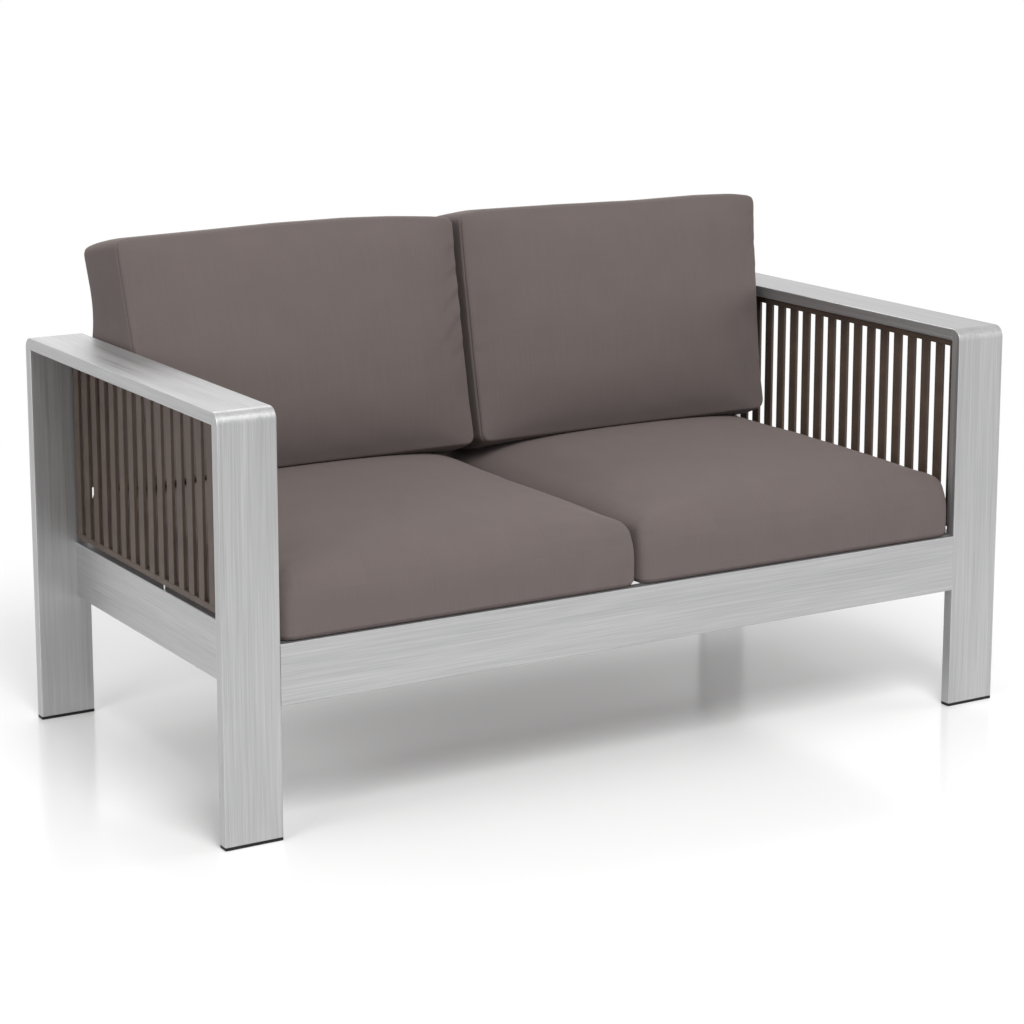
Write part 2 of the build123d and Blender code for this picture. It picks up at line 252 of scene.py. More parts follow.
@dataclass(frozen=True)
class BrushedAluminium:
    """Extruded aluminium tube, belt brushed lengthways and clear anodised.

    Brushing leaves long parallel scratches in bands of slightly different grey, and the anodised skin
    keeps it satin. The real scratches are 0.1 to 0.3 mm apart, too fine to show, so the finest drawn
    ones are 1.3 mm.
    """

    grain: Grain
    hexes: tuple[str, str] = ("#A7A7A8", "#BDBDBD")
    tone_span: tuple[float, float] = (0.36, 0.64)
    scratch: tuple[float, float] = (1.3 * MM, 130 * MM)
    band: tuple[float, float] = (4 * MM, 380 * MM)
    broad: tuple[float, float] = (30 * MM, 900 * MM)
    shares: tuple[float, float, float] = (0.5, 0.32, 0.18)
    scratch_strength: float = 0.35
    scratch_depth: float = 0.05 * MM
    edge_radius: float = 0.9 * MM
    roughness: tuple[float, float] = (0.37, 0.48)
    metallic: float = 0.85

    def cell(self, size: tuple[float, float]) -> tuple[float, float, float]:
        """A grain cell from its width and its length, which is in the brushing direction."""
        return tuple(size[1] if axis == self.grain.value else size[0] for axis in range(3))

    def build(self) -> bpy.types.Material:
        """Make the material."""
        material, tree, shader = new_material(f"brushed_aluminium_{self.grain.name.lower()}")
        place = add_node(tree, "TexCoord").outputs["Object"]
        fine = stretched_noise(tree, place, self.cell(self.scratch))
        band = stretched_noise(tree, place, self.cell(self.band), shift=3.1)
        broad = stretched_noise(tree, place, self.cell(self.broad), 1.0, 7.7)
        tone = weighted_sum(tree, *zip((fine, band, broad), self.shares))
        low, high = self.roughness
        rough = {"Value": band, **NOISE_SPAN, "To Min": low, "To Max": high}
        connect(tree, shader, {
            "Base Color": varied_colour(tree, tone, self.tone_span, self.hexes),
            "Roughness": add_node(tree, "MapRange", None, rough).outputs[0],
            "Normal": relief(tree, fine, self.scratch_strength, self.scratch_depth, self.edge_radius),
            "Metallic": self.metallic,
        })
        return material


@dataclass(frozen=True)
class BrownPowderCoat:
    """Aluminium flats and bars under a baked brown polyester powder coat.

    The powder flows into a low-gloss skin with a faint orange peel, in soft clouds of two browns.
    """

    hexes: tuple[str, str] = ("#4A3D36", "#56483F")
    tone_span: tuple[float, float] = (0.38, 0.62)
    peel: float = 1.1 * MM
    cloud: float = 40 * MM
    cloud_share: float = 0.6
    peel_share: float = 0.4
    peel_strength: float = 0.25
    peel_depth: float = 0.06 * MM
    edge_radius: float = 0.5 * MM
    roughness: float = 0.46
    specular: float = 0.3

    def build(self) -> bpy.types.Material:
        """Make the material."""
        material, tree, shader = new_material("brown_powder_coat")
        place = add_node(tree, "TexCoord").outputs["Object"]
        peel = stretched_noise(tree, place, (self.peel,) * 3)
        cloud = stretched_noise(tree, place, (self.cloud,) * 3, shift=5.3)
        tone = weighted_sum(tree, (cloud, self.cloud_share), (peel, self.peel_share))
        connect(tree, shader, {
            "Base Color": varied_colour(tree, tone, self.tone_span, self.hexes),
            "Normal": relief(tree, peel, self.peel_strength, self.peel_depth, self.edge_radius),
            "Roughness": self.roughness,
            "Specular IOR Level": self.specular,
        })
        return material


@dataclass(frozen=True)
class BlackMouldedPlastic:
    """Injection moulded polyethylene with a fine spark-eroded texture, dull black."""

    hexes: tuple[str, str] = ("#0B0B0B", "#151515")
    tone_span: tuple[float, float] = (0.35, 0.65)
    grit: float = 0.9 * MM
    grit_strength: float = 0.4
    grit_depth: float = 0.08 * MM
    roughness: float = 0.58
    specular: float = 0.3

    def build(self) -> bpy.types.Material:
        """Make the material."""
        material, tree, shader = new_material("black_moulded_plastic")
        place = add_node(tree, "TexCoord").outputs["Object"]
        grit = stretched_noise(tree, place, (self.grit,) * 3, 3.0)
        connect(tree, shader, {
            "Base Color": varied_colour(tree, grit, self.tone_span, self.hexes),
            "Normal": relief(tree, grit, self.grit_strength, self.grit_depth),
            "Roughness": self.roughness,
            "Specular IOR Level": self.specular,
        })
        return material


@dataclass(frozen=True)
class PlatedSteel:
    """Steel under bright zinc: cold bluish grey, mottled where the plating's crystals differ."""

    name: str
    hexes: tuple[str, str]
    roughness: tuple[float, float]
    tone_span: tuple[float, float] = (0.35, 0.65)
    crystal: float = 5 * MM

    def build(self) -> bpy.types.Material:
        """Make the material."""
        material, tree, shader = new_material(self.name)
        place = add_node(tree, "TexCoord").outputs["Object"]
        mottle = stretched_noise(tree, place, (self.crystal,) * 3, 4.0)
        low, high = self.roughness
        rough = {"Value": mottle, **NOISE_SPAN, "To Min": low, "To Max": high}
        connect(tree, shader, {
            "Base Color": varied_colour(tree, mottle, self.tone_span, self.hexes),
            "Roughness": add_node(tree, "MapRange", None, rough).outputs[0],
            "Metallic": 1.0,
        })
        return material


@dataclass(frozen=True)
class TaupeWovenFabric:
    """Solution-dyed outdoor polyester in a plain weave, the warp a little heavier than the weft.

    It gives a matt, slightly ribbed surface with soft slubs down the warp. Real threads are about
    0.5 mm apart, too fine to show, so the drawn weave is coarser. It follows the cloth's own UV map,
    which is in metres with the warp along V.
    """

    hexes: tuple[str, str] = ("#625957", "#695F5D")
    tone_span: tuple[float, float] = (0.3, 0.66)
    thread: float = 1.3 * MM
    warp_height: float = 0.5
    crossing_height: float = 0.3
    slub: float = 2.2 * MM
    slub_length: float = 90 * MM
    slub_height: float = 0.6
    cloud: float = 70 * MM
    shares: tuple[float, float, float, float] = (0.4, 0.15, 0.3, 0.15)
    weave_strength: float = 0.45
    weave_depth: float = 0.22 * MM
    roughness: float = 0.88
    specular: float = 0.25
    sheen: float = 0.22
    sheen_roughness: float = 0.5
    sheen_hex: str = "#B8ABA6"

    def weave(self, tree: bpy.types.NodeTree, cloth: bpy.types.NodeSocket) -> bpy.types.NodeSocket:
        """The height of the weave.

        The sine across the warp times the sine across the weft is a chequer of bumps that swaps its
        sign from one crossing to the next, and says which thread lies on top. The warp's ribs, the
        size of its own sine, are added to it.
        """
        axes = add_node(tree, "SeparateXYZ", None, {0: cloth}).outputs
        turns = [weighted_sum(tree, (axes[axis], math.pi / self.thread)) for axis in (0, 1)]
        across, along = (
            add_node(tree, "Math", {"operation": "SINE"}, {0: turn}).outputs[0] for turn in turns
        )
        crossing = add_node(tree, "Math", {"operation": "MULTIPLY"}, {0: across, 1: along}).outputs[0]
        rib = add_node(tree, "Math", {"operation": "ABSOLUTE"}, {0: across}).outputs[0]
        return weighted_sum(tree, (rib, self.warp_height), (crossing, self.crossing_height))

    def build(self) -> bpy.types.Material:
        """Make the material."""
        material, tree, shader = new_material("taupe_woven_fabric")
        cloth = add_node(tree, "UVMap", {"uv_map": "cloth"}).outputs[0]
        weave = self.weave(tree, cloth)
        slubs = stretched_noise(tree, cloth, (self.slub, self.slub_length, 1.0))
        cross_slubs = stretched_noise(tree, cloth, (self.slub_length, self.slub, 1.0), shift=4.4)
        cloud = stretched_noise(tree, cloth, (self.cloud, self.cloud, 1.0), shift=9.1)
        tone = weighted_sum(tree, *zip((slubs, cross_slubs, cloud, weave), self.shares))
        height = weighted_sum(tree, (weave, 1.0), (slubs, self.slub_height))
        connect(tree, shader, {
            "Base Color": varied_colour(tree, tone, self.tone_span, self.hexes),
            "Normal": relief(tree, height, self.weave_strength, self.weave_depth),
            "Roughness": self.roughness,
            "Sheen Weight": self.sheen,
            "Sheen Roughness": self.sheen_roughness,
            "Sheen Tint": linear(self.sheen_hex),
            "Specular IOR Level": self.specular,
        })
        return material


@dataclass(frozen=True)
class SeamShadeThread:
    """Bonded polyester thread in a fine twist, a little glossier than the cloth; its colour is darker
    than the cloth to paint the shade in the seam's groove.
    """

    # Painted shade: these dark browns make the stitches stand in for the shadow in the seam's groove.
    hexes: tuple[str, str] = ("#3F3735", "#4C4340")
    tone_span: tuple[float, float] = (0.3, 0.7)
    twist: float = 0.6 * MM
    roughness: float = 0.6

    def build(self) -> bpy.types.Material:
        """Make the material."""
        material, tree, shader = new_material("seam_shade_thread")
        place = add_node(tree, "TexCoord").outputs["Object"]
        twist = stretched_noise(tree, place, (self.twist,) * 3, 1.0)
        connect(tree, shader, {
            "Base Color": varied_colour(tree, twist, self.tone_span, self.hexes),
            "Roughness": self.roughness,
        })
        return material


# ---------------------------------------------------------------------------------------------
# The metal frame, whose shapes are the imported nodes
# ---------------------------------------------------------------------------------------------
@dataclass
class MetalFrame:
    """Dresses the rigid nodes: tubes, infill panels, deck, caps and fixings."""

    nodes: dict[str, bpy.types.Object]
    finishes: dict[str, bpy.types.Material] = field(default_factory=dict)

    def finish_for(self, name: str) -> str:
        """Choose a finish from a node's name.

        Args:
            name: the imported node's name.

        Returns:
            The key of the finish in the table of finishes.
        """
        if name.endswith("_leg"):
            return "brushed upright"
        if name.endswith(("_armrest", "_side_rail")):
            return "brushed deep"
        if name in ("front_rail", "rear_rail", "back_top_rail"):
            return "brushed across"
        if name.endswith("_foot_cap"):
            return "black plastic"
        if name == "panel_support_pins":
            return "bright pin"
        if name.startswith("bracket_") or name.endswith("_bracket"):
            return "zinc"
        return "brown coat"

    def dress(self) -> None:
        """Build the finishes and give each rigid node its own."""
        self.finishes = {
            **{f"brushed {grain.name.lower()}": BrushedAluminium(grain).build() for grain in Grain},
            "brown coat": BrownPowderCoat().build(),
            "black plastic": BlackMouldedPlastic().build(),
            "bright pin": PlatedSteel(
                "bright_turned_pin", ("#C2C2C4", "#DADADC"), (0.22, 0.34)
            ).build(),
            "zinc": PlatedSteel("bright_zinc_plate", ("#9FA2A6", "#BFC2C6"), (0.3, 0.42)).build(),
        }
        for name, node in self.nodes.items():
            if name.endswith("_cushion"):
                continue
            for material_slot in node.material_slots:
                material_slot.material = self.finishes[self.finish_for(name)]
            log.info("dressed %s in %s", name, self.finish_for(name))


# ---------------------------------------------------------------------------------------------
# Cushions
# ---------------------------------------------------------------------------------------------
def spread(cells: int, half: float, crowding: float) -> np.ndarray:
    """Grid lines from -half to half that crowd towards both ends.

    The place is half times the sine of the crowded share of a quarter turn, over the sine at its end.

    Args:
        cells: how many cells there are between the lines.
        half: half the length.
        crowding: 0 for even lines, towards 1 for more at the ends.

    Returns:
        The places of the lines, one more than the cells.
    """
    share = np.linspace(-1, 1, cells + 1) * crowding * math.pi / 2
    return half * np.sin(share) / math.sin(crowding * math.pi / 2)


def round_corners(
    x: np.ndarray, y: np.ndarray, half_width: float, half_height: float, radius: float
) -> tuple[np.ndarray, np.ndarray]:
    """Bend a rectangular grid so that its corners follow arcs.

    In each corner square the larger of the two distances from the arc's centre becomes the radius,
    and the ratio of the smaller to the larger becomes the angle, up to an eighth of a turn from the
    nearer axis. Elsewhere nothing moves.
    """
    across = np.maximum(np.abs(x) - (half_width - radius), 0)
    along = np.maximum(np.abs(y) - (half_height - radius), 0)
    reach = np.maximum(across, along)
    angle = math.pi / 4 * np.minimum(across, along) / np.maximum(reach, TINY)
    near, far = reach * np.cos(angle), reach * np.sin(angle)
    corner = (across > 0) & (along > 0)
    new_x = half_width - radius + np.where(across >= along, near, far)
    new_y = half_height - radius + np.where(across >= along, far, near)
    return (
        np.where(corner, np.sign(x) * new_x, x),
        np.where(corner, np.sign(y) * new_y, y),
    )


def resample(grid: np.ndarray, places: np.ndarray) -> np.ndarray:
    """Read a grid along its first axis at fractional places, by a Catmull-Rom curve.

    Args:
        grid: values whose first axis is sampled.
        places: fractional indices from 0 to the last one.

    Returns:
        The values at those places.
    """
    padded = np.concatenate([2 * grid[:1] - grid[1:2], grid, 2 * grid[-1:] - grid[-2:-1]])
    low = np.clip(np.floor(places).astype(int), 0, len(grid) - 2)
    part = (places - low).reshape((-1,) + (1,) * (grid.ndim - 1))
    p0, p1, p2, p3 = (padded[low + k] for k in range(4))
    return p1 + 0.5 * part * (
        p2 - p0 + part * (2 * p0 - 5 * p1 + 4 * p2 - p3 + part * (3 * (p1 - p2) + p3 - p0))
    )


def unit(vectors: np.ndarray) -> np.ndarray:
    """Scale vectors on the last axis to length 1."""
    return vectors / np.maximum(np.linalg.norm(vectors, axis=-1, keepdims=True), TINY)


def outward_of(ring: np.ndarray) -> np.ndarray:
    """Level unit vectors out of a closed ring of points that runs against the clock."""
    way = np.roll(ring, -1, axis=0) - np.roll(ring, 1, axis=0)
    return unit(np.stack([way[:, 1], -way[:, 0], 0 * way[:, 0]], axis=-1))


def smooth_step(value: np.ndarray, start: float, end: float) -> np.ndarray:
    """From 0 at the start to 1 at the end: three times the squared share less twice its cube."""
    share = np.clip((value - start) / (end - start), 0, 1)
    return share**2 * (3 - 2 * share)


def cell_corners(grid: np.ndarray, outward: bool) -> np.ndarray:
    """The four corners of each cell of a grid, (cells, 4, ...), turned round unless outward."""
    corners = [grid[:-1, :-1], grid[1:, :-1], grid[1:, 1:], grid[:-1, 1:]]
    stacked = np.stack([corner.reshape(-1, *grid.shape[2:]) for corner in corners], axis=1)
    return stacked if outward else stacked[:, ::-1]


def along_path(values: np.ndarray, way: np.ndarray, where: np.ndarray) -> np.ndarray:
    """Read values, (n, 3), that belong to distances along a path, at other distances."""
    return np.stack([np.interp(where, way, values[:, k]) for k in range(3)], axis=-1)


def inner_edge(node: str) -> float:
    """How far the inner face of a side's node is from the middle."""
    low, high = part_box(node)
    return min(abs(low[0]), abs(high[0]))


def smoothed(grid: np.ndarray, times: int) -> np.ndarray:
    """Average each inner point of a grid with its four neighbours, so many times."""
    for _ in range(times):
        inner = grid[1:-1, 1:-1]
        around = (grid[:-2, 1:-1] + grid[2:, 1:-1] + grid[1:-1, :-2] + grid[1:-1, 2:]) / 4
        grid = grid.copy()
        grid[1:-1, 1:-1] = 0.5 * (inner + around)
    return grid


@dataclass
class Skin:
    """The closed cover of a cushion as three grids of points that share their seams.

    near and far are the two faces, (across, along, 3). wall is the boxing, (round, deep, 3), which
    runs from the near seam to the far one, round the outline against the clock as seen from the near
    side.
    """

    near: np.ndarray
    far: np.ndarray
    wall: np.ndarray

    @staticmethod
    def outline(grid: np.ndarray) -> np.ndarray:
        """The border of a face grid, in order round it, without a repeated corner."""
        return np.concatenate([grid[:-1, 0], grid[-1, :-1], grid[:0:-1, -1], grid[0, :0:-1]])

    def numbering(self) -> tuple[np.ndarray, np.ndarray, np.ndarray]:
        """Vertex numbers of the near grid, the far grid and the wall."""
        count = self.near.shape[0] * self.near.shape[1]
        near = np.arange(count).reshape(self.near.shape[:2])
        far = near + count
        rings, rows = self.wall.shape[:2]
        inner = 2 * count + np.arange(rings * (rows - 2)).reshape(rings, rows - 2)
        wall = np.column_stack([self.outline(near), inner, self.outline(far)])
        return near, far, wall

    def points(self) -> np.ndarray:
        """All vertices in the order of the numbering."""
        return np.concatenate([
            self.near.reshape(-1, 3), self.far.reshape(-1, 3), self.wall[:, 1:-1].reshape(-1, 3)
        ])

    def read_back(self, points: np.ndarray) -> None:
        """Take moved vertices back into the grids."""
        near, far, wall = self.numbering()
        self.near, self.far, self.wall = points[near], points[far], points[wall]

    def quads(self) -> np.ndarray:
        """Four vertex numbers for each face, turning so that faces point outwards."""
        near, far, wall = self.numbering()
        ring = np.concatenate([wall, wall[:1]])
        return np.concatenate([
            cell_corners(near, True), cell_corners(far, False), cell_corners(ring, False)
        ])

    def cloth_map(self, near_lines: tuple[np.ndarray, np.ndarray]) -> np.ndarray:
        """UV for each corner of each quad, in metres of cloth.

        Faces take their own flat coordinates. The wall takes the distance round the outline and the
        depth from the near seam, measured on the skin.
        """
        flat = np.stack(np.meshgrid(*near_lines, indexing="ij"), axis=-1)
        ring = np.concatenate([self.wall, self.wall[:1]])
        steps = np.linalg.norm(np.diff(ring[:, 0], axis=0), axis=-1)
        around = np.concatenate([[0], np.cumsum(steps)])
        drops = np.linalg.norm(np.diff(self.wall[0], axis=0), axis=-1)
        deep = np.concatenate([[0], np.cumsum(drops)])
        strip = np.stack(np.meshgrid(around, deep, indexing="ij"), axis=-1)
        maps = [
            cell_corners(flat, True),
            cell_corners(flat + CLOTH_MAP_STEP, False),
            cell_corners(strip + 2 * CLOTH_MAP_STEP, False),
        ]
        return np.concatenate(maps).reshape(-1, 2)


@dataclass
class Cushion:
    """A boxed cushion, laid out flat and then set in its place.

    In its own frame x runs across, y along, and z out of the near face. The near seam lies in the
    plane z = 0 and the far seam at z = -wall.
    """

    name: str
    node: str
    width: float
    length: float
    wall: float
    origin: Vector
    across: Vector
    along: Vector
    corner: float
    upper_corner: float
    near_edge: float
    far_edge: float
    fill: float
    near_crown: float = 0.0
    crown_power: float = 2.4
    near_inset: float = 4 * MM
    far_inset: float = 4 * MM
    firmness: float = 0.9
    smoothing: int = 8
    taper: float = 0.0
    flare: float = 0.0
    outer_side: int = 1
    belly: float = 0.0
    belly_place: float = 0.32
    tuck: float = 0.0
    tuck_place: float = 0.35
    top_profile: tuple[tuple[float, float], ...] = ((-0.5, 0.0), (0.5, 0.0))
    ears: tuple[tuple[float, float, float], ...] = ()
    ear_reach: tuple[float, float] = (70 * MM, 60 * MM)
    puckers: tuple[tuple[float, float, float, float, float], ...] = ()
    pucker_width: float = 5 * MM
    pucker_start: float = 6 * MM
    lip_offset: float = 9 * MM
    lip_width: float = 7 * MM
    lip_share: float = 0.6
    cells: tuple[int, int, int] = (70, 58, 12)
    crowding: float = 0.78
    wall_crowding: float = 0.1
    added_lines: tuple[float, float] = (0.22, 0.58)
    seam_depth: float = 0.0
    movement_cap: float = 22 * MM
    pressure: float = 4.0
    held_below: bool = False
    skin: Optional[Skin] = None

    @property
    def outwards(self) -> Vector:
        """The direction out of the near face."""
        return self.across.cross(self.along)

    def lines(self) -> tuple[np.ndarray, np.ndarray]:
        """The grid lines of a face, across and along."""
        return (
            spread(self.cells[0], self.width / 2, self.crowding),
            spread(self.cells[1], self.length / 2, self.crowding),
        )

    def bulge(self, x: np.ndarray, y: np.ndarray) -> np.ndarray:
        """A low belly, 1 at its highest line and 0 at the outline.

        Along the face it is a parabola that rises to the belly's place and another that falls to the
        top. Across it is one minus the third power of the share from the middle.
        """
        up = y / self.length + 0.5
        top = self.belly_place
        along = 1 - np.where(up < top, (top - up) / top, (up - top) / (1 - top)) ** 2
        return along * (1 - np.abs(2 * x / self.width) ** 3)

    def face(self, edge: float, crown: float = 0.0, swell: float = 0.0) -> np.ndarray:
        """A crowned face in the flat frame, rising along +z.

        Its height is a quarter circle of the edge's radius by the distance from the outline, plus the
        crown times one minus the crown's power of each share from the middle, plus the belly.
        """
        x, y = np.meshgrid(*self.lines(), indexing="ij")
        inset = np.minimum(self.width / 2 - np.abs(x), self.length / 2 - np.abs(y))
        near = np.clip(1 - inset / edge, 0, 1)
        share_x, share_y = np.abs(2 * x / self.width), np.abs(2 * y / self.length)
        crowned = (1 - share_x**self.crown_power) * (1 - share_y**self.crown_power)
        height = edge * np.sqrt(1 - near**2) + crown * crowned + swell * self.bulge(x, y)
        corner = np.where(y > 0, self.upper_corner, self.corner)
        round_x, round_y = round_corners(x, y, self.width / 2, self.length / 2, corner)
        return np.stack([round_x, round_y, height], axis=-1)

    def shape(self) -> None:
        """Build the skin in the flat frame, its wall square to the faces.

        The wall's rows crowd towards the seams: from each share of the depth goes the crowding times
        the sine of its whole turn, over pi.
        """
        near = self.face(self.near_edge, self.near_crown, self.belly)
        far = self.face(self.far_edge) * (1, 1, -1) - (0, 0, self.wall)
        depth = np.linspace(0, 1, self.cells[2] + 1)
        depth = depth - self.wall_crowding * np.sin(2 * math.pi * depth) / math.pi
        wall = np.repeat(Skin.outline(near)[:, None], len(depth), axis=1)
        wall[..., 2] = -self.wall * depth[None, :]
        self.skin = Skin(near, far, wall)

    def hold_outline(self, outline: np.ndarray) -> None:
        """Stretch the padded skin in plan, so that each row of its wall follows the outline again.

        The rows come in towards the seams by one less the sine of half a turn's share. A point of a
        face moves across by a straight blend between the gaps at the two sides on its own line, and
        along by a straight blend between the gaps at the two ends.

        Args:
            outline: the wanted ring at the middle of the wall, (round, 3).
        """
        depth = np.linspace(0, 1, self.cells[2] + 1)
        deepest = np.where(depth < 0.5, self.near_inset, self.far_inset)
        inset = (1 - np.sin(math.pi * depth)) * deepest
        wanted = outline[:, None] - outward_of(outline)[:, None] * inset[None, :, None]
        gap = (wanted - self.skin.wall) * (self.firmness, self.firmness, 0)
        self.skin.near = self.skin.near + self.blend_gaps(gap[:, 0])
        self.skin.far = self.skin.far + self.blend_gaps(gap[:, -1])
        self.skin.wall = self.skin.wall + gap
        self.skin.read_back(self.skin.points())

    def blend_gaps(self, gap: np.ndarray) -> np.ndarray:
        """Carry the gaps round a seam over the whole face, (across, along, 3)."""
        wide, long = self.cells[:2]
        ring = np.concatenate([gap, gap[:1]])
        front, right = ring[: wide + 1, 1], ring[wide : wide + long + 1, 0]
        rear = ring[wide + long : 2 * wide + long + 1, 1][::-1]
        left = ring[2 * wide + long :, 0][::-1]
        lines = self.lines()
        share_x = (lines[0] / self.width + 0.5)[:, None]
        share_y = (lines[1] / self.length + 0.5)[None, :]
        shift = np.zeros((wide + 1, long + 1, 3))
        shift[..., 0] = (1 - share_x) * left[None, :] + share_x * right[None, :]
        shift[..., 1] = (1 - share_y) * front[:, None] + share_y * rear[:, None]
        return shift

    def plump(self) -> None:
        """Give the padded cushion its own character: an uneven top, a taper, ears and puckers.

        The side away from the twin comes in evenly from the top to the bottom, from the flare to the
        taper. The bottom of the near face tucks up under the belly, by the squared share below the
        tuck's place. A pucker is a short fold that runs in from a side: a bell curve across it less
        the bell curve of the lip beside it, fading along it.
        """
        points = self.skin.points()
        places, rises = np.array(self.top_profile).T
        rise = np.interp(points[:, 0] / self.width, places, rises) * MM
        points[:, 1] += rise * smooth_step(points[:, 1], 0, self.length / 2)
        inset = np.interp(points[:, 1] / self.length, (-0.5, 0.5), (self.taper, -self.flare))
        share = np.clip(0.5 + self.outer_side * points[:, 0] / self.width, 0, 1)
        points[:, 0] -= self.outer_side * inset * share
        below = np.clip(1 - (points[:, 1] / self.length + 0.5) / self.tuck_place, 0, 1) ** 2
        points[:, 1] += self.tuck * below * np.clip(1 + 2 * points[:, 2] / self.wall, 0, 1)
        for x, y, flare in self.ears:
            offset = points[:, :2] - np.array([x * self.width, y * self.length])
            pull = np.exp(-np.sum((offset / self.ear_reach) ** 2, axis=-1))
            points[:, 0] += flare * MM * pull * np.sign(x)
        near = self.skin.numbering()[0]
        face = points[near]
        for side, place, slant, length, depth in self.puckers:
            inwards = self.width / 2 - side * face[..., 0]
            across = face[..., 1] - place * self.length - slant * inwards
            fold = np.exp(-((across / self.pucker_width) ** 2))
            lip = self.lip_share * np.exp(-(((across - self.lip_offset) / self.lip_width) ** 2))
            fade = np.exp(-((inwards / (length * MM)) ** 2))
            fade = fade * np.clip(inwards / self.pucker_start, 0, 1)
            face[..., 2] -= depth * MM * (fold - lip) * fade
        points[near] = face
        self.skin.read_back(points)

    def place(self, points: np.ndarray) -> np.ndarray:
        """Carry points from the flat frame to the seat's."""
        axes = np.array([self.across, self.along, self.outwards])
        return np.array(self.origin) + points @ axes

    def unplace(self, points: np.ndarray) -> np.ndarray:
        """Carry points from the seat's frame back to the flat one."""
        axes = np.array([self.across, self.along, self.outwards])
        return (points - np.array(self.origin)) @ axes.T

    def pad(self) -> None:
        """Blow the cover up with Blender's Cloth over its own outline, and keep the result.

        A movement m becomes m times the cap over m plus the cap, so that it never passes the cap.
        Where the far face lies on a deck it is pinned.
        """
        outline = self.skin.wall[:, self.cells[2] // 2].copy()
        points = self.skin.points()
        mesh = bpy.data.meshes.new("padding")
        mesh.from_pydata(points.tolist(), [], self.skin.quads().tolist())
        cover = bpy.data.objects.new("padding", mesh)
        bpy.context.scene.collection.objects.link(cover)
        cloth = cover.modifiers.new("Cloth", "CLOTH")
        settings = cloth.settings
        for name, value in CLOTH_SETTINGS.items():
            setattr(settings, name, value)
        settings.uniform_pressure_force = self.pressure
        settings.effector_weights.gravity = 0.0
        if self.held_below:
            held = cover.vertex_groups.new(name="held")
            held.add(self.skin.numbering()[1].ravel().tolist(), 1.0, "REPLACE")
            settings.vertex_group_mass = "held"
        cloth.collision_settings.use_collision = False
        scene = bpy.context.scene
        for number in range(1, CLOTH_STEPS + 1):
            scene.frame_set(number)
        padded = cover.evaluated_get(bpy.context.evaluated_depsgraph_get()).to_mesh()
        moved = np.empty(len(points) * 3)
        padded.vertices.foreach_get("co", moved)
        scene.frame_set(1)
        bpy.data.objects.remove(cover)
        shift = moved.reshape(-1, 3) - points
        far_moved = np.linalg.norm(shift, axis=-1, keepdims=True)
        log.info("%s: padding moved %.1f mm at most, %.1f mm on average", self.name,
                 far_moved.max() / MM, far_moved.mean() / MM)
        shift *= self.movement_cap / (far_moved + self.movement_cap)
        for grid in self.skin.numbering()[:2]:
            shift[grid] = smoothed(shift[grid], self.smoothing)
        self.skin.read_back(points + shift)
        self.hold_outline(outline)

    def refine(self) -> tuple[np.ndarray, np.ndarray]:
        """Add grid lines beside the seams and sink the seams into a groove.

        Returns:
            The places of the face's lines across and along, as fractional indices.
        """
        def lines_near_ends(cells: int) -> np.ndarray:
            """Whole indices, with two more lines near each end."""
            close = np.array(self.added_lines)
            return np.sort(np.concatenate([np.arange(cells + 1), close, cells - close]))

        places = tuple(lines_near_ends(count) for count in self.cells)
        skin = self.skin
        faces = [
            resample(resample(grid, places[0]).swapaxes(0, 1), places[1]).swapaxes(0, 1)
            for grid in (skin.near, skin.far)
        ]
        corners = np.cumsum([0, self.cells[0], self.cells[1], self.cells[0], self.cells[1]])
        ring = np.concatenate([skin.wall, skin.wall[:1]])
        sides = []
        for side in range(4):
            run = ring[corners[side] : corners[side + 1] + 1]
            stations = places[side % 2]
            if side > 1:
                stations = self.cells[side % 2] - stations[::-1]
            sides.append(resample(run, stations)[:-1])
        wall = resample(np.concatenate(sides).swapaxes(0, 1), places[2]).swapaxes(0, 1)
        self.skin = Skin(faces[0], faces[1], wall)
        if self.seam_depth:
            self.sink_seams()
        return places[0], places[1]

    def sink_seams(self) -> None:
        """Push both seam lines straight in, so that they lie in a groove."""
        wall = self.skin.numbering()[2]
        points = self.skin.points()
        for column in (0, -1):
            ring = points[wall[:, column]]
            points[wall[:, column]] = ring - self.seam_depth * outward_of(ring)
        self.skin.read_back(points)


def mesh_object(
    name: str,
    points: np.ndarray,
    faces: list,
    uv: Optional[np.ndarray] = None,
    sharp: Optional[np.ndarray] = None,
) -> bpy.types.Object:
    """Make a smooth-shaded mesh object at the origin.

    Args:
        name: the object's name.
        points: vertices, (n, 3), in metres.
        faces: vertex numbers of each face.
        uv: one UV for each corner of each face, for the map called cloth.
        sharp: numbers of vertices whose joining edges stay sharp when subdivided.

    Returns:
        The linked object.
    """
    mesh = bpy.data.meshes.new(name)
    mesh.from_pydata(points.tolist(), [], faces)
    mesh.polygons.foreach_set("use_smooth", np.ones(len(faces), dtype=bool))
    if sharp is not None:
        ends = np.empty(len(mesh.edges) * 2, dtype=np.int32)
        mesh.edges.foreach_get("vertices", ends)
        on_seam = np.zeros(len(points), dtype=bool)
        on_seam[sharp] = True
        creased = on_seam[ends.reshape(-1, 2)].all(axis=1)
        crease = mesh.attributes.new("crease_edge", "FLOAT", "EDGE")
        crease.data.foreach_set("value", creased.astype(np.float32))
    if uv is not None:
        mesh.uv_layers.new(name="cloth").data.foreach_set("uv", uv.astype(np.float32).ravel())
    mesh.update()
    made = bpy.data.objects.new(name, mesh)
    bpy.context.scene.collection.objects.link(made)
    return made


